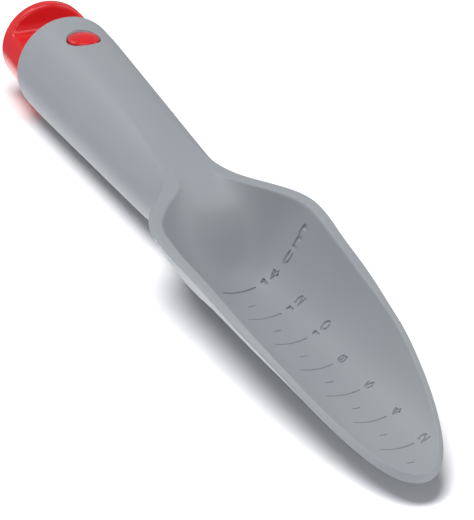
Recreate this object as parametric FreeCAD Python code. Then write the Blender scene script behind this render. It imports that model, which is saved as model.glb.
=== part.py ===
"""Hand trowel: a moulded scoop and hollow handle in one piece, closed by a plug with a catch.

Millimetres, +Z up. The trowel lies on its belly and on the end of its handle at Z = 0, the tip
points along +X and the origin is under the middle of its length. Stations are measured back
from the zero of the moulded scale, and depths into the handle from its open end.
"""
import FreeCAD, Part
import math
import os

V = FreeCAD.Vector

# --- driving dimensions ----------------------------------------------------------------
RIM_STATION = 284.3      # open end of the handle
TIP_STATION = 1.0        # the tip is a little short of the scale's zero
PLUG_REACH = 18.7        # how far the plug stands out of the handle
LENGTH = RIM_STATION + PLUG_REACH - TIP_STATION
ZERO_X = LENGTH / 2 + TIP_STATION

HANDLE_RADIUS = 16.2     # at the open end
HANDLE_TAPER = 0.0341    # loss of radius per mm of depth
# (depth, loss of radius) of the last rings, which round the rim
RIM_STEPS = [(3.2, 0.0), (1.7, 0.0), (0.6, 0.12), (0.0, 0.62), (0.0, 0.8)]

BORE_RADIUS = 13.2       # mouth of the drafted seat for the plug's sleeve
BORE_TAPER = 0.016
BORE_DEPTH = 64.0
HOLLOW_DEPTH = 88.0      # end of the hollow behind the seat
HOLLOW_END_RADIUS = 9.0
MOUTH_CHAMFER = 0.5

FLOOR_CURVE = 1 / 34.8   # scoop section: height = curve * y^2 + quartic * y^4
SCALE_STEP = 10.0        # the moulded depth scale is in centimetres
SCALE_MARKS = 14
SCALE_DEPTH = 0.35
SCALE_LINE = 0.5         # width of an engraved line
LONG_MARK = 4.9          # half lengths
SHORT_MARK = 0.9
FIRST_DIGIT = 8.0        # from the middle of the scoop to the middle of the first digit
DIGIT_PITCH = 3.0
UNIT_START = 15.4
LETTER_PITCH = 3.6
TALL = 40.0              # prisms that reach past the whole trowel
SEAM_TURN = 250.0        # degrees that turns the seams of round surfaces away from the middle

SLEEVE_CLEARANCE = 0.08
SLEEVE_LENGTH = 62.0
SLEEVE_WALL = 1.7
HEAD_ROOT_RADIUS = 14.6  # plug head where it seats on the handle
HEAD_END_RADIUS = 13.85
HEAD_EDGE_ROUND = 1.8
NOTCH_FAR = 13.9         # finger notch, from the open end of the handle outwards
NOTCH_FLOOR = 6.5        # height above the handle's axis
NOTCH_WALL = 2.0         # wall that closes the sleeve at the notch
NOTCH_ROUND = 1.1        # outer lips of the notch
NOTCH_CORNER = 3.0       # inner corners at its floor
CORE_START = -15.6       # the head is cored out below the notch
CORE_END = 2.5
CORE_RADIUS = 10.8
FLOOR_WALL = 2.6
PAST = 30.0              # blocks that reach past the whole handle
SPARE = 1.0              # extra length of a shape that is then trimmed

BUTTON_DEPTH = 16.4      # centre of the round catch button
BUTTON_RADIUS = 4.8
BUTTON_PROUD = 0.9
BUTTON_CROWN = 13.0      # radius of its domed top
BUTTON_ROUND = 0.7
STEM_ROOT = 1.6          # the button's stem starts this far below the sleeve's surface
WINDOW_GAP = 0.3         # between the button and the window in the handle
TONGUE_ROOT = 58.0       # where the catch tongue leaves the sleeve
TONGUE_TIP = 9.6
TONGUE_HALF_WIDTH = 5.6
TONGUE_SLOT = 0.6
HINGE_DEPTH = 57.4       # thinning groove across the tongue, where it bends
HINGE_GROOVE = 0.55

# --- guide curves: (station, value) ----------------------------------------------------
# half width of the scoop's inner edge against the square root of the station
INNER_EDGE_ROOT = [(0, 0), (1.0, 3.4), (2.0, 6.3), (3.0, 8.9), (4.36, 12.2), (5.4, 14.65), (7.0, 18.1),
                   (8.3, 20.4), (9.2, 21.3), (9.95, 21.7), (11.36, 22.95)]
# the same half width further back, where the scoop closes on the handle
INNER_EDGE = [(130, 22.95), (140, 22.85), (146, 21.7), (152, 18.8), (158, 14.9), (163, 10.8),
              (168, 7.7), (175, 6.0), (186, 5.1), (200, 4.4), (220, 3.4), (250, 3.2), (284, 3.2)]
OUTER_EDGE = [(130, 26.5), (140, 26.7), (146, 26.1), (152, 24.1), (158, 20.6), (164, 16.3),
              (170, 12.3), (177, 9.2), (186, 7.4), (200, 6.2), (220, 4.9), (250, 4.5), (284, 4.5)]
# height of the trough and floor along the middle
MIDDLE = [(0, 10.6), (20, 9.8), (50, 8.4), (80, 6.9), (110, 5.4), (138, 3.95), (143, 4.5),
          (148, 7.4), (153, 13.2), (158, 20), (161, 22.8), (166, 25.2), (173, 26.8), (180, 27.4),
          (190, 27.9), (205, 28.9), (220, 29.8), (236, 30.6), (250, 31.1)]
EDGE_HEIGHT = [(130, 26.7), (140, 27.2), (152, 27.75), (162, 27.75), (170, 27.6), (180, 27.6),
               (190, 27.7), (205, 28.5), (220, 29.3), (236, 30.0)]
OUTER_DROP = [(130, 0.45), (146, 0.25), (158, 0.25), (170, 0.3), (182, 0.3), (205, 0.0)]
BELLY = [(130, 0.85), (138, 0.35), (146, 0.0), (152, 0.25), (158, 1.3), (165, 3.0), (172, 4.3),
         (182, 4.6), (196, 3.9)]
# share of the fourth-power term in the section across the trough
SQUARENESS = [(130, 0.32), (145, 0.34), (158, 0.85), (170, 0.9), (185, 0.5), (205, 0.2)]
WALL = [(0, 2.6), (30, 2.4), (60, 2.2), (100, 2.25), (120, 2.1), (130, 2.3)]
FLOOR_QUARTIC = [(80, 2.0e-5), (105, 2.55e-5)]
# extra thickness along the edge
BEAD = [(45, 0), (60, 0.15), (80, 0.5), (100, 1.3), (130, 1.55)]

TIP_FAN = 12.0           # the sections fan out round a point this far behind the tip
FAN_SPREAD = 12.0
FAN_END = 36.0
BLEND_START = 142.0      # scoop outside
BLEND_END = 188.0        # plain round handle outside
ROUND_TOP = 236.0        # behind this the top of the handle is plain round too
EDGE_STATION = 130.0     # behind this the edge follows its own guide curves
BEAD_START = 45.0
RIM_LEVEL = 0.65         # how nearly the top of the edge is level in the deep part of the scoop
OVERLAP = 6.0            # each half of the skin is made this much past the middle, then trimmed
# where the sections lie: (first, step, count) of the root near the tip, then of the distance behind it
TIP_SECTIONS = (-2.4, 0.8, 11)
FURTHER_SECTIONS = [(39, 8, 12), (131, 3.5, 19), (201, 8, 10)]
SHARES = [0, 0.1, 0.2, 0.3, 0.4, 0.5, 0.6, 0.7, 0.8, 0.88, 0.94, 0.98, 1.0]


def smooth(value, low, high):
    """0 below low, 1 above high, and an even rise between."""
    t = min(1.0, max(0.0, (value - low) / (high - low)))
    return t * t * (3 - 2 * t)


def guide(table, at):
    """Value of a guide curve, by monotone cubic interpolation."""
    if at <= table[0][0]:
        return table[0][1]
    if at >= table[-1][0]:
        return table[-1][1]
    k = max(i for i in range(len(table) - 1) if table[i][0] <= at)
    steps = [(b[1] - a[1]) / (b[0] - a[0]) for a, b in zip(table, table[1:])]

    def slope(i):
        if i == 0 or i == len(table) - 1:
            return steps[min(i, len(steps) - 1)]
        before, after = steps[i - 1], steps[i]
        return 0.0 if before * after <= 0 else 2 * before * after / (before + after)

    (x0, y0), (x1, y1) = table[k], table[k + 1]
    width = x1 - x0
    t = (at - x0) / width
    return ((1 + 2 * t) * (1 - t) ** 2 * y0 + t * (1 - t) ** 2 * width * slope(k)
            + t * t * (3 - 2 * t) * y1 + t * t * (t - 1) * width * slope(k + 1))


# --- handle frame ----------------------------------------------------------------------
HANDLE_END = V(ZERO_X - RIM_STATION, 0, HANDLE_RADIUS)


def on_handle(depth, y, up):
    """A point given by its depth into the handle, its side and its height above the axis."""
    return HANDLE_END + V(depth, y, up)


def in_handle(shape):
    """Move a shape from handle coordinates (+X in, +Z up) to where the handle lies."""
    placed = shape.copy()
    placed.translate(HANDLE_END)
    return placed


def handle_radius(depth):
    return HANDLE_RADIUS - HANDLE_TAPER * depth


# --- the skin of the moulding ----------------------------------------------------------
def inner_edge(station):
    if station < EDGE_STATION:
        return guide(INNER_EDGE_ROOT, math.sqrt(max(station - TIP_STATION, 0)))
    return guide(INNER_EDGE, station)


def floor_height(station, y):
    """Height of the scoop's inner face, the ramp behind it and the flat on the handle."""
    middle = guide(MIDDLE, station)
    if station < EDGE_STATION:
        return middle + FLOOR_CURVE * y ** 2 + guide(FLOOR_QUARTIC, station) * y ** 4
    depth = guide(EDGE_HEIGHT, station) - middle
    share = guide(SQUARENESS, station)
    u = y / inner_edge(station)
    return middle + depth * ((1 - share) * u ** 2 + share * u ** 4)


def offset_below(station, y, wall):
    """The point of the scoop's outer face that is one wall behind a point of the inner face."""
    h = 0.05
    ds = (floor_height(station + h, y) - floor_height(station - h, y)) / (2 * h)
    dy = (floor_height(station, y + h) - floor_height(station, y - h)) / (2 * h)
    normal = V(ds, -dy, 1)
    normal.normalize()
    return V(ZERO_X - station, y, floor_height(station, y)) - normal * wall


def scoop_outer(station, y):
    """Outer face of a scoop that runs on straight behind the edge station."""
    if station <= BEAD_START:
        return offset_below(station, y, guide(WALL, station))
    share = y / inner_edge(station)
    at = min(station, EDGE_STATION - 0.1)
    wall = guide(WALL, at) + guide(BEAD, at) * share ** 8
    point = offset_below(at, share * inner_edge(at), wall)
    rise = floor_height(at, share * inner_edge(at)) - point.z
    point.z += RIM_LEVEL * smooth(at, 80, 100) * share ** 16 * rise
    return V(ZERO_X - station, point.y, point.z) if at < station else point


def fan_start(root):
    """Station on the middle side where a section starts, from the root of its edge's place."""
    t = root / math.sqrt(FAN_END)
    if t >= 1:
        return TIP_STATION + root * root
    return (TIP_STATION + TIP_FAN * (1 + 2 * t) * (1 - t) ** 2 + FAN_SPREAD * t * (1 - t) ** 2
            + FAN_END * t * t * (3 - 2 * t) + 2 * FAN_END * t * t * (t - 1))


def section(root):
    """From just past the middle of the underside, round the edge, to just past the middle on top.

    root is the square root of the edge point's distance behind the tip, negative past the tip.
    """
    station = TIP_STATION + root * root
    start = fan_start(root)
    width = inner_edge(station)
    edge = math.copysign(width, root)
    plan = [(start + (station - start) * v, (edge + OVERLAP) * v - OVERLAP) for v in SHARES]
    inside = [V(ZERO_X - at, y, floor_height(at, y)) for at, y in reversed(plan)]
    outside = [scoop_outer(at, y) for at, y in plan]
    if station >= EDGE_STATION:
        outside, inside = neck_section(station, plan, outside, inside)
    return outside + [(outside[-1] + inside[0]) * 0.5] + inside


def neck_section(station, plan, outside, inside):
    """Blend the scoop's section into the round handle's."""
    depth = RIM_STATION - station
    radius = handle_radius(depth)
    past = math.asin(OVERLAP / radius)
    top = math.acos(min(1.0, guide(OUTER_EDGE, max(station, BLEND_END)) / radius))
    radius *= 3 / (2 + math.cos(0.1 * (math.pi / 2 + top + past)))
    blend = smooth(station, BLEND_START, BLEND_END)
    result = []
    for v, scoop in zip(SHARES, outside):
        angle = v * (math.pi / 2 + top + past) - math.pi / 2 - past
        handle = on_handle(depth, radius * math.cos(angle), radius * math.sin(angle))
        result.append(scoop * (1 - blend) + handle * blend)
    edge = V(ZERO_X - station, guide(OUTER_EDGE, station),
             guide(EDGE_HEIGHT, station) - guide(OUTER_DROP, station))
    belly = V(0, 0, guide(BELLY, station) - lowest(result))
    own = 1 - smooth(station, BLEND_END, ROUND_TOP)
    held = 1 - smooth(station, BLEND_END - 20, BLEND_END + 8)
    to_edge = (edge - result[-1]) * own
    result = [p + to_edge * v ** 4 + belly * held * (1 - v * v) ** 2 for v, p in zip(SHARES, result)]
    crown = []
    for p, (_, y) in zip(inside, reversed(plan)):
        angle = math.acos(max(-1.0, min(1.0, y / radius)))
        round_top = on_handle(depth, radius * math.cos(angle), radius * math.sin(angle))
        crown.append(p * own + round_top * (1 - own))
    return result, crown


def lowest(points):
    return min(p.z for p in points)


def end_sections():
    """The rounded edge of the handle's open end, as shrinking copies of the round section."""
    first = RIM_STEPS[0][0]
    template = [p - on_handle(first, 0, 0) for p in section(math.sqrt(RIM_STATION - TIP_STATION - first))]
    rings = []
    for depth, loss in RIM_STEPS:
        sizes = [(handle_radius(depth) - loss) / math.hypot(p.y, p.z) for p in template]
        rings.append([on_handle(depth, p.y * size, p.z * size) for p, size in zip(template, sizes)])
    return rings


def section_roots():
    first, step, count = TIP_SECTIONS
    roots = [first + step * i for i in range(count)]
    for first, step, count in FURTHER_SECTIONS:
        roots += [math.sqrt(first + step * i) for i in range(count)]
    return roots


def skin_face(sections):
    """One smooth cubic surface over a grid of sections."""
    def knots(count):
        spans = count - 3
        return [4] + [1] * (spans - 1) + [4], [float(i) for i in range(spans + 1)]
    u_mults, u_knots = knots(len(sections))
    v_mults, v_knots = knots(len(sections[0]))
    surface = Part.BSplineSurface()
    surface.buildFromPolesMultsKnots(sections, u_mults, v_mults, u_knots, v_knots, False, False, 3, 3)
    return surface.toShape()


def make_skin():
    half = skin_face([section(r) for r in section_roots()] + end_sections())
    half = half.common(Part.makeBox(2 * LENGTH, LENGTH, LENGTH, V(-LENGTH, 0, -10))).Faces[0]
    other = half.mirror(V(0, 0, 0), V(0, 1, 0))
    rim = []
    for edge in half.Edges + other.Edges:
        ends = [abs(edge.valueAt(t).x - HANDLE_END.x) for t in
                (edge.FirstParameter, (edge.FirstParameter + edge.LastParameter) / 2, edge.LastParameter)]
        if max(ends) < 0.01:
            rim.append(edge)
    end = Part.Face(Part.Wire(Part.__sortEdges__(rim)))
    shell = Part.makeShell([half, other, end])
    shell.sewShape()
    solid = Part.makeSolid(Part.Shell(shell.Faces))
    if solid.Volume < 0:
        solid.reverse()
    return solid


# --- the bore, the window and the engraved scale ----------------------------------------
def bore_radius(depth):
    return BORE_RADIUS - BORE_TAPER * depth


def turned(profile):
    """A solid turned about the handle's axis from (depth, radius) points."""
    points = [V(depth, 0, radius) for depth, radius in profile]
    face = Part.Face(Part.makePolygon(points + [points[0]]))
    solid = face.revolve(V(0, 0, 0), V(1, 0, 0), 360)
    solid.rotate(V(0, 0, 0), V(1, 0, 0), SEAM_TURN)
    return solid


def make_hollow():
    end = HOLLOW_DEPTH
    mouth = BORE_RADIUS + MOUTH_CHAMFER + SPARE
    return turned([(-SPARE, 0), (-SPARE, mouth), (MOUTH_CHAMFER, bore_radius(MOUTH_CHAMFER)),
                   (BORE_DEPTH, bore_radius(BORE_DEPTH)), (end - 3, HOLLOW_END_RADIUS),
                   (end, HOLLOW_END_RADIUS - 3), (end, 0)])


def make_window():
    hole = Part.makeCylinder(BUTTON_RADIUS + WINDOW_GAP, HANDLE_RADIUS + 2, V(BUTTON_DEPTH, 0, 2))
    hole.rotate(V(BUTTON_DEPTH, 0, 0), V(0, 0, 1), SEAM_TURN)
    return hole


def arc(start, through, end):
    return Part.Arc(V(*start, 0), V(*through, 0), V(*end, 0)).toShape()


def line(start, end):
    return Part.LineSegment(V(*start, 0), V(*end, 0)).toShape()


def path(*points):
    return [line(a, b) for a, b in zip(points, points[1:])]


def ring(x, y, radius):
    """Two half circles."""
    left, right = (x - radius, y), (x + radius, y)
    return [[arc(left, (x, y + radius), right)], [arc(left, (x, y - radius), right)]]


# each glyph is a list of strokes about its middle, 3 mm high
GLYPHS = {
    "0": [[line((-1.1, 0), (-1.1, 0.3)), arc((-1.1, 0.3), (0, 1.5), (1.1, 0.3)),
           line((1.1, 0.3), (1.1, 0))],
          [line((-1.1, 0), (-1.1, -0.3)), arc((-1.1, -0.3), (0, -1.5), (1.1, -0.3)),
           line((1.1, -0.3), (1.1, 0))]],
    "1": [path((-0.7, 0.7), (0.2, 1.5), (0.2, -1.5))],
    "2": [[arc((-1.1, 0.75), (0.1, 1.5), (0.95, 0.35)), line((0.95, 0.35), (-1.2, -1.5))],
          path((-1.2, -1.5), (1.2, -1.5))],
    "4": [path((0.5, -1.5), (0.5, 1.5), (-1.2, -0.6)), path((-1.2, -0.6), (1.2, -0.6))],
    "6": ring(0, -0.55, 0.95) + [[arc((-0.95, -0.55), (-0.6, 0.8), (0.5, 1.5))]],
    "8": ring(0, 0.72, 0.72) + ring(0, -0.72, 0.85),
    "c": [[arc((1.0, 0.7), (-1.1, 0), (1.0, -0.7))]],
    "m": [path((-1.5, -1.1), (-1.5, 1.1)),
          [arc((-1.5, 0.4), (-0.75, 1.1), (0, 0.4)), line((0, 0.4), (0, -1.1))],
          [arc((0, 0.4), (0.75, 1.1), (1.5, 0.4)), line((1.5, 0.4), (1.5, -1.1))]],
}


def straight_face(start, end):
    """A straight stroke with round ends."""
    half = SCALE_LINE / 2
    along = (end - start).normalize()
    across = V(-along.y, along.x, 0) * half
    corners = [start + across, start - across, end - across, end + across]
    sides = [Part.Arc(corners[0], start - along * half, corners[1]).toShape(),
             Part.LineSegment(corners[1], corners[2]).toShape(),
             Part.Arc(corners[2], end + along * half, corners[3]).toShape(),
             Part.LineSegment(corners[3], corners[0]).toShape()]
    return Part.Face(Part.Wire(sides))


def stroke_face(edges):
    """Any stroke, as the area within half a line's width of it."""
    if len(edges) == 1 and isinstance(edges[0].Curve, Part.Line):
        return straight_face(*[v.Point for v in edges[0].Vertexes])
    wire = Part.Wire(Part.__sortEdges__(edges))
    return Part.Face(wire.makeOffset2D(SCALE_LINE / 2))


def glyph_prism(character, station, side):
    """A tall prism over one glyph, which reads along +Y with its top towards the handle."""
    faces = [stroke_face(edges) for edges in GLYPHS[character]]
    area = faces[0].fuse(faces[1:]).removeSplitter() if len(faces) > 1 else faces[0]
    prism = area.extrude(V(0, 0, TALL))
    prism.rotate(V(0, 0, 0), V(0, 0, 1), 90)
    prism.translate(V(ZERO_X - station, side, 0))
    return prism


def scale_prisms():
    prisms = []
    for mark in range(1, SCALE_MARKS + 1):
        station = mark * SCALE_STEP
        half = SHORT_MARK if mark % 2 else LONG_MARK
        stroke = straight_face(V(ZERO_X - station, -half, 0), V(ZERO_X - station, half, 0))
        prisms.append(stroke.extrude(V(0, 0, TALL)))
        if mark % 2 == 0:
            for k, digit in enumerate(str(mark)):
                prisms.append(glyph_prism(digit, station, FIRST_DIGIT + k * DIGIT_PITCH))
    for k, letter in enumerate("cm"):
        prisms.append(glyph_prism(letter, SCALE_MARKS * SCALE_STEP, UNIT_START + k * LETTER_PITCH))
    return prisms


def engraving():
    """Everything that is cut into the floor, down to one depth below its surface."""
    stations = [4 + 6 * i for i in range(24)]
    sides = [-8 + 2 * j for j in range(17)]
    groove_floor = skin_face([[offset_below(at, y, SCALE_DEPTH) for y in sides] for at in stations])
    above = groove_floor.extrude(V(0, 0, TALL / 2))
    return [prism.common(above) for prism in scale_prisms()]


def make_trowel_body():
    body = make_skin()
    body = body.cut([in_handle(make_hollow()), in_handle(make_window())])
    return body.cut(engraving())


# --- the plug --------------------------------------------------------------------------
def sleeve_radius(depth):
    return bore_radius(depth) - SLEEVE_CLEARANCE


def block(depth_from, depth_to, height_from, half_width=PAST, height_to=PAST):
    """A box in handle coordinates."""
    return Part.makeBox(depth_to - depth_from, 2 * half_width, height_to - height_from,
                        V(depth_from, -half_width, height_from))


def make_sleeve():
    outer = turned([(0, 0), (0, sleeve_radius(0)),
                    (SLEEVE_LENGTH - 1, sleeve_radius(SLEEVE_LENGTH - 1)),
                    (SLEEVE_LENGTH, sleeve_radius(SLEEVE_LENGTH) - 0.8), (SLEEVE_LENGTH, 0)])
    start, end = NOTCH_WALL, SLEEVE_LENGTH + SPARE
    inner = turned([(start, 0), (start, sleeve_radius(start) - SLEEVE_WALL),
                    (end, sleeve_radius(end) - SLEEVE_WALL), (end, 0)])
    return outer, inner


def head_radius(reach):
    """Radius of the plug's head at a distance out from the open end."""
    return HEAD_ROOT_RADIUS + (HEAD_END_RADIUS - HEAD_ROOT_RADIUS) * reach / PLUG_REACH


def middle_of(edge):
    return edge.valueAt((edge.FirstParameter + edge.LastParameter) / 2)


def make_head():
    """The plug's head: a tapered knob with a rounded end and a notch across its top."""
    head = turned([(0, 0), (0, HEAD_ROOT_RADIUS), (-PLUG_REACH, HEAD_END_RADIUS), (-PLUG_REACH, 0)])
    end_edge = [e for e in head.Edges
                if abs(middle_of(e).x + PLUG_REACH) < 0.01 and e.Length > 2 * HEAD_END_RADIUS]
    head = head.makeFillet(HEAD_EDGE_ROUND, end_edge)
    notch = block(-NOTCH_FAR, 0, NOTCH_FLOOR)
    corner = [e for e in notch.Edges if e.BoundBox.ZMax < NOTCH_FLOOR + 0.01
              and e.BoundBox.XMax < 0.01 - NOTCH_FAR]
    head = head.cut(notch.makeFillet(NOTCH_CORNER, corner))
    lips = []
    for edge in head.Edges:
        point = middle_of(edge)
        on_cone = abs(math.hypot(point.y, point.z) - head_radius(-point.x)) < 0.02
        if on_cone and point.z > NOTCH_FLOOR - 0.1 and point.x > -NOTCH_FAR - 0.1:
            lips.append(edge)
    return head.makeFillet(NOTCH_ROUND, lips)


def make_end_plug():
    head = make_head()
    outer, inner = make_sleeve()
    core = turned([(CORE_START, 0), (CORE_START, CORE_RADIUS), (CORE_END, CORE_RADIUS), (CORE_END, 0)])
    core = core.common(block(-PAST, PAST, -PAST, height_to=NOTCH_FLOOR - FLOOR_WALL))
    plug = head.fuse(outer).cut([inner, core])
    slot = block(TONGUE_TIP - TONGUE_SLOT, TONGUE_ROOT, 0, TONGUE_HALF_WIDTH + TONGUE_SLOT)
    return plug.cut(slot).removeSplitter()


def make_catch_button():
    outer, inner = make_sleeve()
    strip = block(TONGUE_TIP, TONGUE_ROOT, 0, TONGUE_HALF_WIDTH)
    tongue = outer.cut(inner).common(strip)
    top = handle_radius(BUTTON_DEPTH) + BUTTON_PROUD
    foot = sleeve_radius(BUTTON_DEPTH) - STEM_ROOT
    stem = Part.makeCylinder(BUTTON_RADIUS, top + SPARE - foot, V(BUTTON_DEPTH, 0, foot))
    dome = Part.makeSphere(BUTTON_CROWN, V(BUTTON_DEPTH, 0, top - BUTTON_CROWN))
    stem = stem.common(dome)
    edge = [e for e in stem.Edges if e.BoundBox.ZMin > top - 2 * SPARE and e.Length > 4 * BUTTON_RADIUS]
    stem = stem.makeFillet(BUTTON_ROUND, edge)
    groove_height = sleeve_radius(TONGUE_ROOT) - SLEEVE_WALL
    groove = Part.makeCylinder(HINGE_GROOVE, 2 * PAST, V(HINGE_DEPTH, -PAST, groove_height), V(0, 1, 0))
    return tongue.fuse(stem).cut(groove).removeSplitter()


def main():
    os.makedirs("parts", exist_ok=True)
    parts = {
        "trowel_body": make_trowel_body(),
        "end_plug": in_handle(make_end_plug()),
        "catch_button": in_handle(make_catch_button()),
    }
    for name, shape in parts.items():
        print(name, "valid", shape.isValid(), "solids", len(shape.Solids), "volume", round(shape.Volume),
              "faces", len(shape.Faces), shape.BoundBox)
        shape.exportStep("parts/" + name + ".step")


main()
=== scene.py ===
"""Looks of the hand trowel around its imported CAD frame.

Shapes are worked out in millimetres, as in the CAD, and become metres when a mesh is made.
Stations are measured back from the zero of the engraved scale, which is just past the tip, and
depths into the handle from its open end.
"""
import math

import bmesh
import bpy
from mathutils import Matrix, Vector
from mathutils.bvhtree import BVHTree
from mathutils.geometry import barycentric_transform


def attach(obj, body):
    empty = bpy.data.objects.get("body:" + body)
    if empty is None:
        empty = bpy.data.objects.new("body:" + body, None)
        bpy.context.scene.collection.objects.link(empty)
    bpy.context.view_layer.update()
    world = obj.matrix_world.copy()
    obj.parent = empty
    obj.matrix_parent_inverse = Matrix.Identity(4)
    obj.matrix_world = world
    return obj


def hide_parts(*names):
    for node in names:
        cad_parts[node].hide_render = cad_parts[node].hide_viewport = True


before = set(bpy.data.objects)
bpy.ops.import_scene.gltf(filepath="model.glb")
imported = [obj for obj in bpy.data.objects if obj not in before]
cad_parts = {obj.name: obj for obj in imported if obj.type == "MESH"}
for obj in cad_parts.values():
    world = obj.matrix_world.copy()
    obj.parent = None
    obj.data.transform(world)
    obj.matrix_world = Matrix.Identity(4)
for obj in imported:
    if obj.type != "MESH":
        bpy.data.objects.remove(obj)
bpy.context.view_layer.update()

MM = 0.001


# --- dimensions of the moulding, in millimetres -----------------------------------------
RIM_STATION = 284.3      # open end of the handle
TIP_STATION = 1.0        # the tip is a little short of the scale's zero
PLUG_REACH = 18.7        # how far the plug stands out of the handle
LENGTH = RIM_STATION + PLUG_REACH - TIP_STATION
ZERO_X = LENGTH / 2 + TIP_STATION
HANDLE_RADIUS = 16.2     # at the open end
HANDLE_TAPER = 0.0341    # loss of radius per mm of depth
# the rounded rim at the open end: (depth, loss of radius)
RIM_STEPS = [(3.2, 0.0), (1.7, 0.0), (0.6, 0.12), (0.0, 0.62), (0.0, 0.8)]
BORE_RADIUS = 13.2       # mouth of the drafted seat for the plug's sleeve
BORE_TAPER = 0.016
BORE_DEPTH = 64.0
HOLLOW_DEPTH = 88.0      # end of the hollow behind the seat
HOLLOW_END_RADIUS = 9.0
MOUTH_CHAMFER = 0.5
FLOOR_CURVE = 1 / 34.8   # scoop section: height = curve * y^2 + quartic * y^4
SCALE_STEP = 10.0        # the moulded depth scale is in centimetres
SCALE_MARKS = 14
SCALE_DEPTH = 0.35
SCALE_LINE = 0.5         # width of an engraved line
LONG_MARK = 4.9          # half lengths
SHORT_MARK = 0.9
FIRST_DIGIT = 8.0        # from the middle of the scoop to the middle of the first digit
DIGIT_PITCH = 3.0
UNIT_START = 15.4
LETTER_PITCH = 3.6
BUTTON_DEPTH = 16.4      # centre of the round catch button
BUTTON_RADIUS = 4.8
WINDOW_GAP = 0.3         # between the button and the window in the handle

# --- guide curves: (station, value) ----------------------------------------------------
# half width of the scoop's inner edge against the square root of the station
INNER_EDGE_ROOT = [(0, 0), (1.0, 3.4), (2.0, 6.3), (3.0, 8.9), (4.36, 12.2), (5.4, 14.65),
                   (7.0, 18.1), (8.3, 20.4), (9.2, 21.3), (9.95, 21.7), (11.36, 22.95)]
# the same half width further back, where the scoop closes on the handle
INNER_EDGE = [(130, 22.95), (140, 22.85), (146, 21.7), (152, 18.8), (158, 14.9), (163, 10.8),
              (168, 7.7), (175, 6.0), (186, 5.1), (200, 4.4), (220, 3.4), (250, 3.2), (284, 3.2)]
OUTER_EDGE = [(130, 26.5), (140, 26.7), (146, 26.1), (152, 24.1), (158, 20.6), (164, 16.3),
              (170, 12.3), (177, 9.2), (186, 7.4), (200, 6.2), (220, 4.9), (250, 4.5), (284, 4.5)]
# height of the trough and floor along the middle
MIDDLE = [(0, 10.6), (20, 9.8), (50, 8.4), (80, 6.9), (110, 5.4), (138, 3.95), (143, 4.5),
          (148, 7.4), (153, 13.2), (158, 20), (161, 22.8), (166, 25.2), (173, 26.8), (180, 27.4),
          (190, 27.9), (205, 28.9), (220, 29.8), (236, 30.6), (250, 31.1)]
EDGE_HEIGHT = [(130, 26.7), (140, 27.2), (152, 27.75), (162, 27.75), (170, 27.6), (180, 27.6),
               (190, 27.7), (205, 28.5), (220, 29.3), (236, 30.0)]
OUTER_DROP = [(130, 0.45), (146, 0.25), (158, 0.25), (170, 0.3), (182, 0.3), (205, 0.0)]
BELLY = [(130, 0.85), (138, 0.35), (146, 0.0), (152, 0.25), (158, 1.3), (165, 3.0), (172, 4.3),
         (182, 4.6), (196, 3.9)]
# share of the fourth-power term in the section across the trough
SQUARENESS = [(130, 0.32), (145, 0.34), (158, 0.85), (170, 0.9), (185, 0.5), (205, 0.2)]
WALL = [(0, 2.6), (30, 2.4), (60, 2.2), (100, 2.25), (120, 2.1), (130, 2.3)]
FLOOR_QUARTIC = [(80, 2.0e-5), (105, 2.55e-5)]
# extra thickness along the edge
BEAD = [(45, 0), (60, 0.15), (80, 0.5), (100, 1.3), (130, 1.55)]

SLOPE_STEP = 0.05        # for slopes of the floor
TIP_FAN = 12.0           # the sections fan out round a point this far behind the tip
FAN_SPREAD = 12.0
FAN_END = 36.0
BLEND_START = 142.0      # scoop outside
BLEND_END = 188.0        # plain round handle outside
BELLY_START = 168.0      # between these the underside leaves its guide curve
BELLY_END = 196.0
ROUND_TOP = 236.0        # behind this the top of the handle is plain round too
EDGE_STATION = 130.0     # behind this the edge follows its own guide curves
BEFORE_EDGE = 0.1        # the scoop's last section of its own is this far short of that
BEAD_START = 45.0
BEAD_POWER = 8           # of the share of the width; the higher, the nearer to the edge
RIM_LEVEL = 0.65         # how nearly the top of the edge is level in the deep part of the scoop
LEVEL_POWER = 16
LEVEL_START = 80.0       # the top of the edge turns level between these
LEVEL_END = 100.0
OVERLAP = 6.0            # each half of the skin is made this much past the middle, then trimmed
# where the sections lie: (first, step, count), of the root of the distance behind the tip at
# first, then of that distance itself
TIP_SECTIONS = (-2.4, 0.8, 11)
FURTHER_SECTIONS = [(39, 8, 12), (131, 3.5, 19), (201, 8, 10)]
SHARES = [0, 0.1, 0.2, 0.3, 0.4, 0.5, 0.6, 0.7, 0.8, 0.88, 0.94, 0.98, 1.0]


def smooth(value, low, high):
    """0 below low, 1 above high, and an even rise between."""
    t = min(1.0, max(0.0, (value - low) / (high - low)))
    return t * t * (3 - 2 * t)


def guide(table, at):
    """Value of a guide curve, by monotone cubic interpolation."""
    if at <= table[0][0]:
        return table[0][1]
    if at >= table[-1][0]:
        return table[-1][1]
    k = max(i for i in range(len(table) - 1) if table[i][0] <= at)
    steps = [(b[1] - a[1]) / (b[0] - a[0]) for a, b in zip(table, table[1:])]

    def slope(i):
        if i == 0 or i == len(table) - 1:
            return steps[min(i, len(steps) - 1)]
        before, after = steps[i - 1], steps[i]
        return 0.0 if before * after <= 0 else 2 * before * after / (before + after)

    (x0, y0), (x1, y1) = table[k], table[k + 1]
    width = x1 - x0
    t = (at - x0) / width
    return ((1 + 2 * t) * (1 - t) ** 2 * y0 + t * (1 - t) ** 2 * width * slope(k)
            + t * t * (3 - 2 * t) * y1 + t * t * (t - 1) * width * slope(k + 1))


# --- handle frame ----------------------------------------------------------------------
HANDLE_END = Vector((ZERO_X - RIM_STATION, 0, HANDLE_RADIUS))


def on_handle(depth, y, up):
    """A point given by its depth into the handle, its side and its height above the axis."""
    return HANDLE_END + Vector((depth, y, up))


def handle_radius(depth):
    return HANDLE_RADIUS - HANDLE_TAPER * depth


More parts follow.
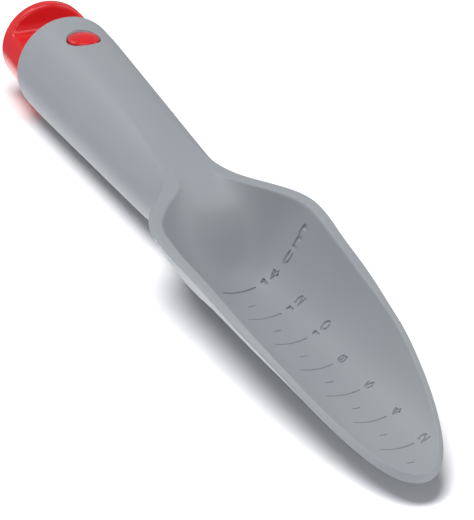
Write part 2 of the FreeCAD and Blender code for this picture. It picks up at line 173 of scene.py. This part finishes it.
# --- the skin of the moulding ----------------------------------------------------------
def inner_edge(station):
    if station < EDGE_STATION:
        return guide(INNER_EDGE_ROOT, math.sqrt(max(station - TIP_STATION, 0)))
    return guide(INNER_EDGE, station)


def floor_height(station, y):
    """Height of the scoop's inner face, the ramp behind it and the flat on the handle."""
    middle = guide(MIDDLE, station)
    if station < EDGE_STATION:
        return middle + FLOOR_CURVE * y ** 2 + guide(FLOOR_QUARTIC, station) * y ** 4
    depth = guide(EDGE_HEIGHT, station) - middle
    share = guide(SQUARENESS, station)
    u = y / inner_edge(station)
    return middle + depth * ((1 - share) * u ** 2 + share * u ** 4)


def offset_below(station, y, wall):
    """The point of the scoop's outer face that is one wall behind a point of the inner face."""
    h = SLOPE_STEP
    ds = (floor_height(station + h, y) - floor_height(station - h, y)) / (2 * h)
    dy = (floor_height(station, y + h) - floor_height(station, y - h)) / (2 * h)
    normal = Vector((ds, -dy, 1))
    normal.normalize()
    return Vector((ZERO_X - station, y, floor_height(station, y))) - normal * wall


def scoop_outer(station, y):
    """Outer face of a scoop that runs on straight behind the edge station."""
    if station <= BEAD_START:
        return offset_below(station, y, guide(WALL, station))
    share = y / inner_edge(station)
    at = min(station, EDGE_STATION - BEFORE_EDGE)
    wall = guide(WALL, at) + guide(BEAD, at) * share ** BEAD_POWER
    point = offset_below(at, share * inner_edge(at), wall)
    rise = floor_height(at, share * inner_edge(at)) - point.z
    point.z += RIM_LEVEL * smooth(at, LEVEL_START, LEVEL_END) * share ** LEVEL_POWER * rise
    return Vector((ZERO_X - station, point.y, point.z)) if at < station else point


def fan_start(root):
    """Station on the middle side where a section starts, from the root of its edge's place."""
    t = root / math.sqrt(FAN_END)
    if t >= 1:
        return TIP_STATION + root * root
    return (TIP_STATION + TIP_FAN * (1 + 2 * t) * (1 - t) ** 2 + FAN_SPREAD * t * (1 - t) ** 2
            + FAN_END * t * t * (3 - 2 * t) + 2 * FAN_END * t * t * (t - 1))


def section(root):
    """From just past the middle of the underside, round the edge, to just past the middle on top.

    root is the square root of the edge point's distance behind the tip, negative past the tip.
    """
    station = TIP_STATION + root * root
    start = fan_start(root)
    width = inner_edge(station)
    edge = math.copysign(width, root)
    plan = [(start + (station - start) * v, (edge + OVERLAP) * v - OVERLAP) for v in SHARES]
    inside = [Vector((ZERO_X - at, y, floor_height(at, y))) for at, y in reversed(plan)]
    outside = [scoop_outer(at, y) for at, y in plan]
    if station >= EDGE_STATION:
        outside, inside = neck_section(station, plan, outside, inside)
    return outside + [(outside[-1] + inside[0]) * 0.5] + inside


def neck_section(station, plan, outside, inside):
    """Blend the scoop's section into the round handle's."""
    depth = RIM_STATION - station
    radius = handle_radius(depth)
    past = math.asin(OVERLAP / radius)
    top = math.acos(min(1.0, guide(OUTER_EDGE, max(station, BLEND_END)) / radius))
    # the subdivided skin runs inside its points by this much at their usual spacing
    radius *= 3 / (2 + math.cos(SHARES[1] * (math.pi / 2 + top + past)))
    blend = smooth(station, BLEND_START, BLEND_END)
    result = []
    for v, scoop in zip(SHARES, outside):
        angle = v * (math.pi / 2 + top + past) - math.pi / 2 - past
        handle = on_handle(depth, radius * math.cos(angle), radius * math.sin(angle))
        result.append(scoop * (1 - blend) + handle * blend)
    edge_height = guide(EDGE_HEIGHT, station) - guide(OUTER_DROP, station)
    edge = Vector((ZERO_X - station, guide(OUTER_EDGE, station), edge_height))
    belly = Vector((0, 0, guide(BELLY, station) - lowest(result)))
    own = 1 - smooth(station, BLEND_END, ROUND_TOP)
    held = 1 - smooth(station, BELLY_START, BELLY_END)
    to_edge = (edge - result[-1]) * own
    result = [p + to_edge * v ** 4 + belly * held * (1 - v * v) ** 2
              for v, p in zip(SHARES, result)]
    crown = []
    for p, (_, y) in zip(inside, reversed(plan)):
        angle = math.acos(max(-1.0, min(1.0, y / radius)))
        round_top = on_handle(depth, radius * math.cos(angle), radius * math.sin(angle))
        crown.append(p * own + round_top * (1 - own))
    return result, crown


def lowest(points):
    return min(p.z for p in points)


def end_sections():
    """The rounded edge of the handle's open end, as shrinking copies of the round section."""
    first = RIM_STEPS[0][0]
    last_root = math.sqrt(RIM_STATION - TIP_STATION - first)
    template = [p - on_handle(first, 0, 0) for p in section(last_root)]
    rings = []
    for depth, loss in RIM_STEPS:
        sizes = [(handle_radius(depth) - loss) / math.hypot(p.y, p.z) for p in template]
        rings.append([on_handle(depth, p.y * size, p.z * size)
                      for p, size in zip(template, sizes)])
    return rings


def section_roots():
    first, step, count = TIP_SECTIONS
    roots = [first + step * i for i in range(count)]
    for first, step, count in FURTHER_SECTIONS:
        roots += [math.sqrt(first + step * i) for i in range(count)]
    return roots


# --- the moulding as a mesh --------------------------------------------------------------
SUBDIVISIONS = 3
SKIN, CUT = 0, 1         # material slots of the moulding
AT_MIDDLE = 1e-3         # points this near the middle plane belong on it
TOUCHING = 1e-4
MOUTH_OVERRUN = 1.0      # the cutter of the bore stands this far out of the handle's end
HOLLOW_ROUND = 3.0       # rounding at the end of the hollow
HOLLOW_ANGLES = (0, 0.4, 0.8, 1.2, math.pi / 2)
WINDOW_BEVEL = 0.25
# sections of the rounded bevel: (growth of the radius, height), as shares of the bevel
BEVEL_STEPS = [(0, -1), (0.1, -0.6), (0.4, -0.2)]
WINDOW_LIFT = 0.02       # the bevel ends this far above the handle's surface
WINDOW_OVERRUN = 3.0
ROUND_STEPS = 96
BORE_EASE = 0.02         # keeps the flats of the bore clear of the plug's sleeve and tongue
SHARP_ANGLE = math.radians(35)
SAME_FACE = 0.3          # least cosine between a cut face and the skin it was part of


def new_object(name, bm):
    """A smooth-shaded object in the scene; the bmesh is used up."""
    mesh = bpy.data.meshes.new(name)
    bm.to_mesh(mesh)
    bm.free()
    mesh.polygons.foreach_set("use_smooth", [True] * len(mesh.polygons))
    obj = bpy.data.objects.new(name, mesh)
    bpy.context.scene.collection.objects.link(obj)
    return obj


def grid(bm, rows, closed=False):
    """Quads over rows of points; closed joins each row's last point to its first."""
    points = [[bm.verts.new(p) for p in row] for row in rows]
    count = len(rows[0])
    for a, b in zip(points, points[1:]):
        for i in range(count if closed else count - 1):
            k = (i + 1) % count
            bm.faces.new((a[i], a[k], b[k], b[i]))
    return points


def apply_modifiers(obj):
    graph = bpy.context.evaluated_depsgraph_get()
    mesh = bpy.data.meshes.new_from_object(obj.evaluated_get(graph), depsgraph=graph)
    old = obj.data
    obj.modifiers.clear()
    obj.data = mesh
    bpy.data.meshes.remove(old)


def remove(obj):
    mesh = obj.data
    bpy.data.objects.remove(obj)
    bpy.data.meshes.remove(mesh)


def make_skin():
    """The closed outside of the moulding: a subdivided half, trimmed and mirrored."""
    bm = bmesh.new()
    grid(bm, [section(r) for r in section_roots()] + end_sections())
    obj = new_object("moulding", bm)
    subsurf = obj.modifiers.new("smooth", "SUBSURF")
    subsurf.levels = SUBDIVISIONS
    subsurf.boundary_smooth = "ALL"
    apply_modifiers(obj)
    bm = bmesh.new()
    bm.from_mesh(obj.data)
    whole = bm.verts[:] + bm.edges[:] + bm.faces[:]
    bmesh.ops.bisect_plane(bm, geom=whole, dist=TOUCHING, plane_co=(0, 0, 0), plane_no=(0, 1, 0),
                           clear_inner=True)
    for v in bm.verts:
        if abs(v.co.y) < AT_MIDDLE:
            v.co.y = 0
    seam = [v for v in bm.verts if v.co.y == 0]
    bmesh.ops.remove_doubles(bm, verts=seam, dist=2 * AT_MIDDLE)
    whole = bm.verts[:] + bm.edges[:] + bm.faces[:]
    bmesh.ops.mirror(bm, geom=whole, axis="Y", merge_dist=TOUCHING)
    rim = [e for e in bm.edges if e.is_boundary]
    bmesh.ops.contextual_create(bm, geom=rim)
    bmesh.ops.recalc_face_normals(bm, faces=bm.faces[:])
    bm.to_mesh(obj.data)
    bm.free()
    return obj


def capped(rows, name):
    """A closed solid over closed rows of points, with a flat cap on the first and the last."""
    bm = bmesh.new()
    points = grid(bm, rows, closed=True)
    bm.faces.new(points[0])
    bm.faces.new(points[-1])
    bmesh.ops.recalc_face_normals(bm, faces=bm.faces[:])
    return new_object(name, bm)


def round_angles():
    return [2 * math.pi * i / ROUND_STEPS for i in range(ROUND_STEPS)]


def bore_radius(depth):
    return BORE_RADIUS - BORE_TAPER * depth + BORE_EASE


def hollow_cutter():
    """The bore with its chamfered mouth and the hollow behind it, turned about the axis."""
    profile = [(-MOUTH_OVERRUN, BORE_RADIUS + MOUTH_CHAMFER + MOUTH_OVERRUN),
               (MOUTH_CHAMFER, bore_radius(MOUTH_CHAMFER)), (BORE_DEPTH, bore_radius(BORE_DEPTH))]
    for a in HOLLOW_ANGLES:
        depth = HOLLOW_DEPTH - HOLLOW_ROUND * (1 - math.sin(a))
        profile.append((depth, HOLLOW_END_RADIUS - HOLLOW_ROUND * (1 - math.cos(a))))
    rows = [[on_handle(depth, radius * math.cos(a), radius * math.sin(a)) for a in round_angles()]
            for depth, radius in profile]
    return capped(rows, "hollow")


def window_cutter():
    """A round hole whose edge is broken all round, where it meets the curved handle."""
    radius = BUTTON_RADIUS + WINDOW_GAP
    inside = handle_radius(BUTTON_DEPTH) / 2

    def ring(size, above=None):
        """A level ring inside the bore, or one that stays some way above the handle's surface."""
        points = []
        for a in round_angles():
            x, y = size * math.cos(a), size * math.sin(a)
            surface = math.sqrt(handle_radius(BUTTON_DEPTH + x) ** 2 - y * y)
            up = inside if above is None else surface + above
            points.append(on_handle(BUTTON_DEPTH + x, y, up))
        return points

    b = WINDOW_BEVEL
    rows = [ring(radius)] + [ring(radius + out * b, height * b) for out, height in BEVEL_STEPS]
    rows += [ring(radius + b, WINDOW_LIFT), ring(radius + b, WINDOW_OVERRUN)]
    return capped(rows, "window")


# --- the engraved scale -------------------------------------------------------------------
def bow(x, y, rx, ry, start, end, count=10):
    """Points of an elliptical arc, angles in degrees."""
    angles = [math.radians(start + (end - start) * i / count) for i in range(count + 1)]
    return [(x + rx * math.cos(a), y + ry * math.sin(a)) for a in angles]


# each glyph is a list of strokes about its middle, 3 mm high; x reads along +Y
GLYPHS = {
    "0": [bow(0, 0, 1.15, 1.5, 0, 360, 24)],
    "1": [[(-0.7, 0.7), (0.2, 1.5), (0.2, -1.5)]],
    "2": [bow(0, 0.62, 1.05, 0.88, 165, -40) + [(-1.15, -1.5)], [(-1.15, -1.5), (1.2, -1.5)]],
    "4": [[(0.5, -1.5), (0.5, 1.5), (-1.2, -0.6), (1.2, -0.6)]],
    "6": [bow(0, -0.6, 1.05, 0.9, 0, 360, 20), bow(0.55, -0.5, 1.6, 2.0, 180, 95)],
    "8": [bow(0, 0.75, 0.85, 0.75, 0, 360, 18), bow(0, -0.75, 1.05, 0.75, 0, 360, 20)],
    "c": [bow(0.1, 0, 1.25, 1.1, 50, 310, 16)],
    "m": [[(-1.6, -1.1), (-1.6, 1.1)],
          bow(-0.8, 0.3, 0.8, 0.8, 180, 0, 10) + [(0, -1.1)],
          bow(0.8, 0.3, 0.8, 0.8, 180, 0, 10) + [(1.6, -1.1)]],
}
GROOVE_TOP = 0.5         # cutters run this far above the floor
GROOVE_DRAFT = 0.45      # widening per mm of height
END_WIDTH = 0.12         # share of the width left at the rounded end of a stroke
END_REACH = [0.0, 0.4, 0.8, 1.0]
STROKE_STEP = 0.25


def resampled(points):
    """The stroke with points every short step, corners kept."""
    result = [points[0]]
    for (x0, y0), (x1, y1) in zip(points, points[1:]):
        steps = max(1, round(math.hypot(x1 - x0, y1 - y0) / STROKE_STEP))
        for k in range(1, steps + 1):
            result.append((x0 + (x1 - x0) * k / steps, y0 + (y1 - y0) * k / steps))
    return result


def groove_row(at, along, reach, station, side):
    """Corners of a groove's section at a point of its stroke or a little past it."""
    (x, y), (tx, ty) = at, along
    low, high = -SCALE_DEPTH, GROOVE_TOP
    row = []
    for height, across in ((low, -1), (high, -1), (high, 1), (low, 1)):
        wide = SCALE_LINE / 2 + GROOVE_DRAFT * (height + SCALE_DEPTH * 0.5)
        rounded = math.sqrt(1 - reach * reach) if abs(reach) < 1 else END_WIDTH
        w = wide * rounded * across
        right, back = x + tx * reach * wide - ty * w, y + ty * reach * wide + tx * w
        row.append(offset_below(station + back, side + right, -height))
    return row


def groove_cutter(stroke, station, side):
    """A groove along one stroke, sunk into the scoop's floor at an even depth."""
    closed = math.dist(stroke[0], stroke[-1]) < 1e-6
    line = resampled(stroke)
    if closed:
        line.pop()
    last = len(line) - 1
    rows = []
    for i, at in enumerate(line):
        before = line[i - 1] if closed or i else at
        after = line[(i + 1) % len(line)] if closed or i < last else at
        size = math.dist(before, after)
        along = ((after[0] - before[0]) / size, (after[1] - before[1]) / size)
        reaches = [0.0]
        if not closed and i == 0:
            reaches = [-r for r in reversed(END_REACH)]
        elif not closed and i == last:
            reaches = END_REACH
        rows += [groove_row(at, along, reach, station, side) for reach in reaches]
    if not closed:
        return capped(rows, "groove")
    bm = bmesh.new()
    points = grid(bm, rows, closed=True)
    for i in range(4):
        k = (i + 1) % 4
        bm.faces.new((points[-1][i], points[-1][k], points[0][k], points[0][i]))
    bmesh.ops.recalc_face_normals(bm, faces=bm.faces[:])
    return new_object("groove", bm)


def scale_strokes():
    """Every stroke of the scale, with the station and the side of its glyph's middle."""
    for mark in range(1, SCALE_MARKS + 1):
        station = mark * SCALE_STEP
        half = SHORT_MARK if mark % 2 else LONG_MARK
        yield [(-half, 0), (half, 0)], station, 0
        if mark % 2 == 0:
            for k, digit in enumerate(str(mark)):
                for stroke in GLYPHS[digit]:
                    yield stroke, station, FIRST_DIGIT + k * DIGIT_PITCH
    for k, letter in enumerate("cm"):
        for stroke in GLYPHS[letter]:
            yield stroke, SCALE_MARKS * SCALE_STEP, UNIT_START + k * LETTER_PITCH


def cut(obj, cutter):
    """Take the cutter's shape out of the object; the cut faces get the material slot CUT."""
    cutter.data.materials.clear()
    for material in obj.data.materials:
        cutter.data.materials.append(material)
    cutter.data.polygons.foreach_set("material_index", [CUT] * len(cutter.data.polygons))
    boolean = obj.modifiers.new("cut", "BOOLEAN")
    boolean.operation = "DIFFERENCE"
    boolean.solver = "MANIFOLD"
    boolean.object = cutter
    apply_modifiers(obj)
    remove(cutter)


def keep_normals(obj, tree, mesh, normals):
    """Give the skin the normals it had before it was cut, and the cuts their own."""
    cut_mesh = obj.data
    cut_mesh.set_sharp_from_angle(angle=SHARP_ANGLE)
    own = [Vector(c.vector) for c in cut_mesh.corner_normals]
    result = []
    for polygon in cut_mesh.polygons:
        for loop in polygon.loop_indices:
            if polygon.material_index != SKIN:
                result.append(own[loop])
                continue
            co = cut_mesh.vertices[cut_mesh.loops[loop].vertex_index].co
            place, _, index, _ = tree.find_nearest(co)
            corners = mesh.loop_triangles[index].vertices
            a, b, c = [mesh.vertices[v].co for v in corners]
            n = barycentric_transform(place, a, b, c, *[normals[v] for v in corners])
            result.append(n.normalized() if n.dot(polygon.normal) > SAME_FACE else own[loop])
    cut_mesh.normals_split_custom_set(result)


def make_moulding(look):
    """The whole moulding in metres: its skin with the hollow, the window and the scale cut in."""
    obj = make_skin()
    for _ in (SKIN, CUT):
        obj.data.materials.append(look)
    cut(obj, hollow_cutter())
    before = obj.data.copy()
    before.calc_loop_triangles()
    tree = BVHTree.FromPolygons([v.co[:] for v in before.vertices],
                                [t.vertices[:] for t in before.loop_triangles])
    normals = [Vector(v.vector) for v in before.vertex_normals]
    cut(obj, window_cutter())
    for stroke, station, side in scale_strokes():
        cut(obj, groove_cutter(stroke, station, side))
    keep_normals(obj, tree, before, normals)
    bpy.data.meshes.remove(before)
    obj.data.transform(Matrix.Scale(MM, 4))
    obj.name = obj.data.name = "trowel_moulding"
    return obj


# --- camera ------------------------------------------------------------------------------
AZIMUTH = math.radians(68.41)      # from -Y round towards +X
ELEVATION = math.radians(25.74)
DISTANCE = 2.4902
LENS = 618.5
TARGET = Vector((0.152, 0, 0.0006))
PAN = (-0.0521535, 0.0692633)      # of the camera to its right and up


def make_camera():
    """A long lens that sees the tool as the photograph does."""
    right = Vector((math.cos(AZIMUTH), math.sin(AZIMUTH), 0))
    level_back = Vector((math.sin(AZIMUTH), -math.cos(AZIMUTH), 0))
    back = level_back * math.cos(ELEVATION) + Vector((0, 0, math.sin(ELEVATION)))
    up = back.cross(right)
    camera = bpy.data.objects.new("camera", bpy.data.cameras.new("camera"))
    bpy.context.scene.collection.objects.link(camera)
    camera.data.sensor_width = 36
    camera.data.sensor_fit = "AUTO"
    camera.data.lens = LENS
    camera.data.clip_end = 20
    camera.matrix_world = Matrix((right, up, back)).transposed().to_4x4()
    camera.matrix_world.translation = TARGET + right * PAN[0] + up * PAN[1] + back * DISTANCE
    bpy.context.scene.camera = camera


# --- floor and light -----------------------------------------------------------------------
FLOOR_HALF = 3.0
LAMP_DISTANCE = 1.6
# name, azimuth, elevation, size and power
KEY = ("key", -50, 71, 1.0, 34)
LAMPS = [("front", -30, 42, 0.5, 3.1), ("left", -115, 30, 1.2, 3.2), ("right", 72, 30, 1.4, 7.5),
         ("back", 205, 46, 0.7, 6.0), ("top", 0, 88, 1.2, 10.5)]
WORLD_STRENGTH = 1.6     # at level 1
# (height of the direction, level); the floor hides what is below from all but gloss
WORLD_LEVELS = [(-1, 0.95), (-0.48, 0.95), (-0.4, 0.1), (-0.1, 0.12), (0, 0.24), (1, 0.125)]


def node_material(name):
    material = bpy.data.materials.new(name)
    material.use_nodes = True
    return material, material.node_tree.nodes, material.node_tree.links


def make_floor():
    mesh = bpy.data.meshes.new("floor")
    s = FLOOR_HALF
    mesh.from_pydata([(-s, -s, 0), (s, -s, 0), (s, s, 0), (-s, s, 0)], [], [(0, 1, 2, 3)])
    floor = bpy.data.objects.new("floor", mesh)
    bpy.context.scene.collection.objects.link(floor)
    floor.visible_glossy = False
    material, nodes, _ = node_material("floor_white")
    nodes["Principled BSDF"].inputs["Base Color"].default_value = (0.9, 0.9, 0.92, 1)
    nodes["Principled BSDF"].inputs["Roughness"].default_value = 0.9
    mesh.materials.append(material)
    return floor


def softbox(name, azimuth, elevation, size, power, floor, on_floor):
    """A round softbox that lights either the floor alone or everything but the floor."""
    data = bpy.data.lights.new(name, "AREA")
    data.shape = "DISK"
    data.size = size
    data.energy = power
    lamp = bpy.data.objects.new(name, data)
    a, e = math.radians(azimuth), math.radians(elevation)
    direction = Vector((math.cos(a) * math.cos(e), math.sin(a) * math.cos(e), math.sin(e)))
    lamp.location = direction * LAMP_DISTANCE
    lamp.rotation_euler = (-direction).to_track_quat("-Z", "Y").to_euler()
    bpy.context.scene.collection.objects.link(lamp)
    group = bpy.data.collections.new(name + "_lights")
    group.objects.link(floor)
    group.collection_objects[0].light_linking.link_state = "INCLUDE" if on_floor else "EXCLUDE"
    lamp.light_linking.receiver_collection = group


def make_world():
    """A white studio, dim at the sides, with a bright band low down that only gloss sees."""
    world = bpy.data.worlds.new("studio")
    bpy.context.scene.world = world
    world.use_nodes = True
    nodes, links = world.node_tree.nodes, world.node_tree.links
    split = nodes.new("ShaderNodeSeparateXYZ")
    links.new(nodes.new("ShaderNodeTexCoord").outputs["Generated"], split.inputs["Vector"])
    height = nodes.new("ShaderNodeMapRange")
    height.inputs["From Min"].default_value = -1.0
    links.new(split.outputs["Z"], height.inputs["Value"])
    ramp = nodes.new("ShaderNodeValToRGB")
    elements = ramp.color_ramp.elements
    elements.remove(elements[1])
    for i, (z, level) in enumerate(WORLD_LEVELS):
        if i:
            elements.new((z + 1) / 2)
        elements[i].position = (z + 1) / 2
        elements[i].color = (level, level, level, 1)
    links.new(height.outputs["Result"], ramp.inputs["Fac"])
    links.new(ramp.outputs["Color"], nodes["Background"].inputs["Color"])
    nodes["Background"].inputs["Strength"].default_value = WORLD_STRENGTH


make_camera()
bpy.context.scene.view_settings.view_transform = "Standard"
white_floor = make_floor()
make_world()
softbox(*KEY, white_floor, on_floor=True)
for lamp_values in LAMPS:
    softbox(*lamp_values, white_floor, on_floor=False)


# --- materials -----------------------------------------------------------------------------
GLOSS_SPREAD = 0.05      # of the roughness, either way
BUMP_DISTANCE = 0.0001
DRIFT_SCALE = 14
DRIFT_START, DRIFT_END = 0.35, 0.65


def moulded_plastic(name, colour, shade, roughness, specular, grain_scale, bump):
    """Moulded plastic: a slow drift of tone, a fine grain and slightly uneven gloss."""
    material, nodes, links = node_material(name)
    shader = nodes["Principled BSDF"]
    place = nodes.new("ShaderNodeTexCoord").outputs["Object"]

    def noise(scale, detail):
        node = nodes.new("ShaderNodeTexNoise")
        node.inputs["Scale"].default_value = scale
        node.inputs["Detail"].default_value = detail
        links.new(place, node.inputs["Vector"])
        return node.outputs["Fac"]

    drift = noise(DRIFT_SCALE, 3)
    grain = noise(grain_scale, 4)
    ramp = nodes.new("ShaderNodeValToRGB")
    start, end = ramp.color_ramp.elements
    start.position, start.color = DRIFT_START, (*shade, 1)
    end.position, end.color = DRIFT_END, (*colour, 1)
    links.new(drift, ramp.inputs["Fac"])
    links.new(ramp.outputs["Color"], shader.inputs["Base Color"])
    gloss = nodes.new("ShaderNodeMapRange")
    gloss.inputs["To Min"].default_value = roughness - GLOSS_SPREAD
    gloss.inputs["To Max"].default_value = roughness + GLOSS_SPREAD
    links.new(grain, gloss.inputs["Value"])
    links.new(gloss.outputs["Result"], shader.inputs["Roughness"])
    shader.inputs["Specular IOR Level"].default_value = specular
    relief = nodes.new("ShaderNodeBump")
    relief.inputs["Strength"].default_value = bump
    relief.inputs["Distance"].default_value = BUMP_DISTANCE
    links.new(grain, relief.inputs["Height"])
    links.new(relief.outputs["Normal"], shader.inputs["Normal"])
    return material


grey_look = moulded_plastic(
    "grey_plastic_look", colour=(0.345, 0.367, 0.395), shade=(0.322, 0.343, 0.375),
    roughness=0.47, specular=0.4, grain_scale=2600, bump=0.35)
red_look = moulded_plastic(
    "red_plastic_look", colour=(0.76, 0.022, 0.028), shade=(0.71, 0.019, 0.024),
    roughness=0.16, specular=0.35, grain_scale=900, bump=0.01)

moulding = make_moulding(grey_look)
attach(moulding, "body")
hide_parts("trowel_body")

for node in ("end_plug", "catch_button"):
    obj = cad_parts[node]
    obj.data.materials.clear()
    obj.data.materials.append(red_look)
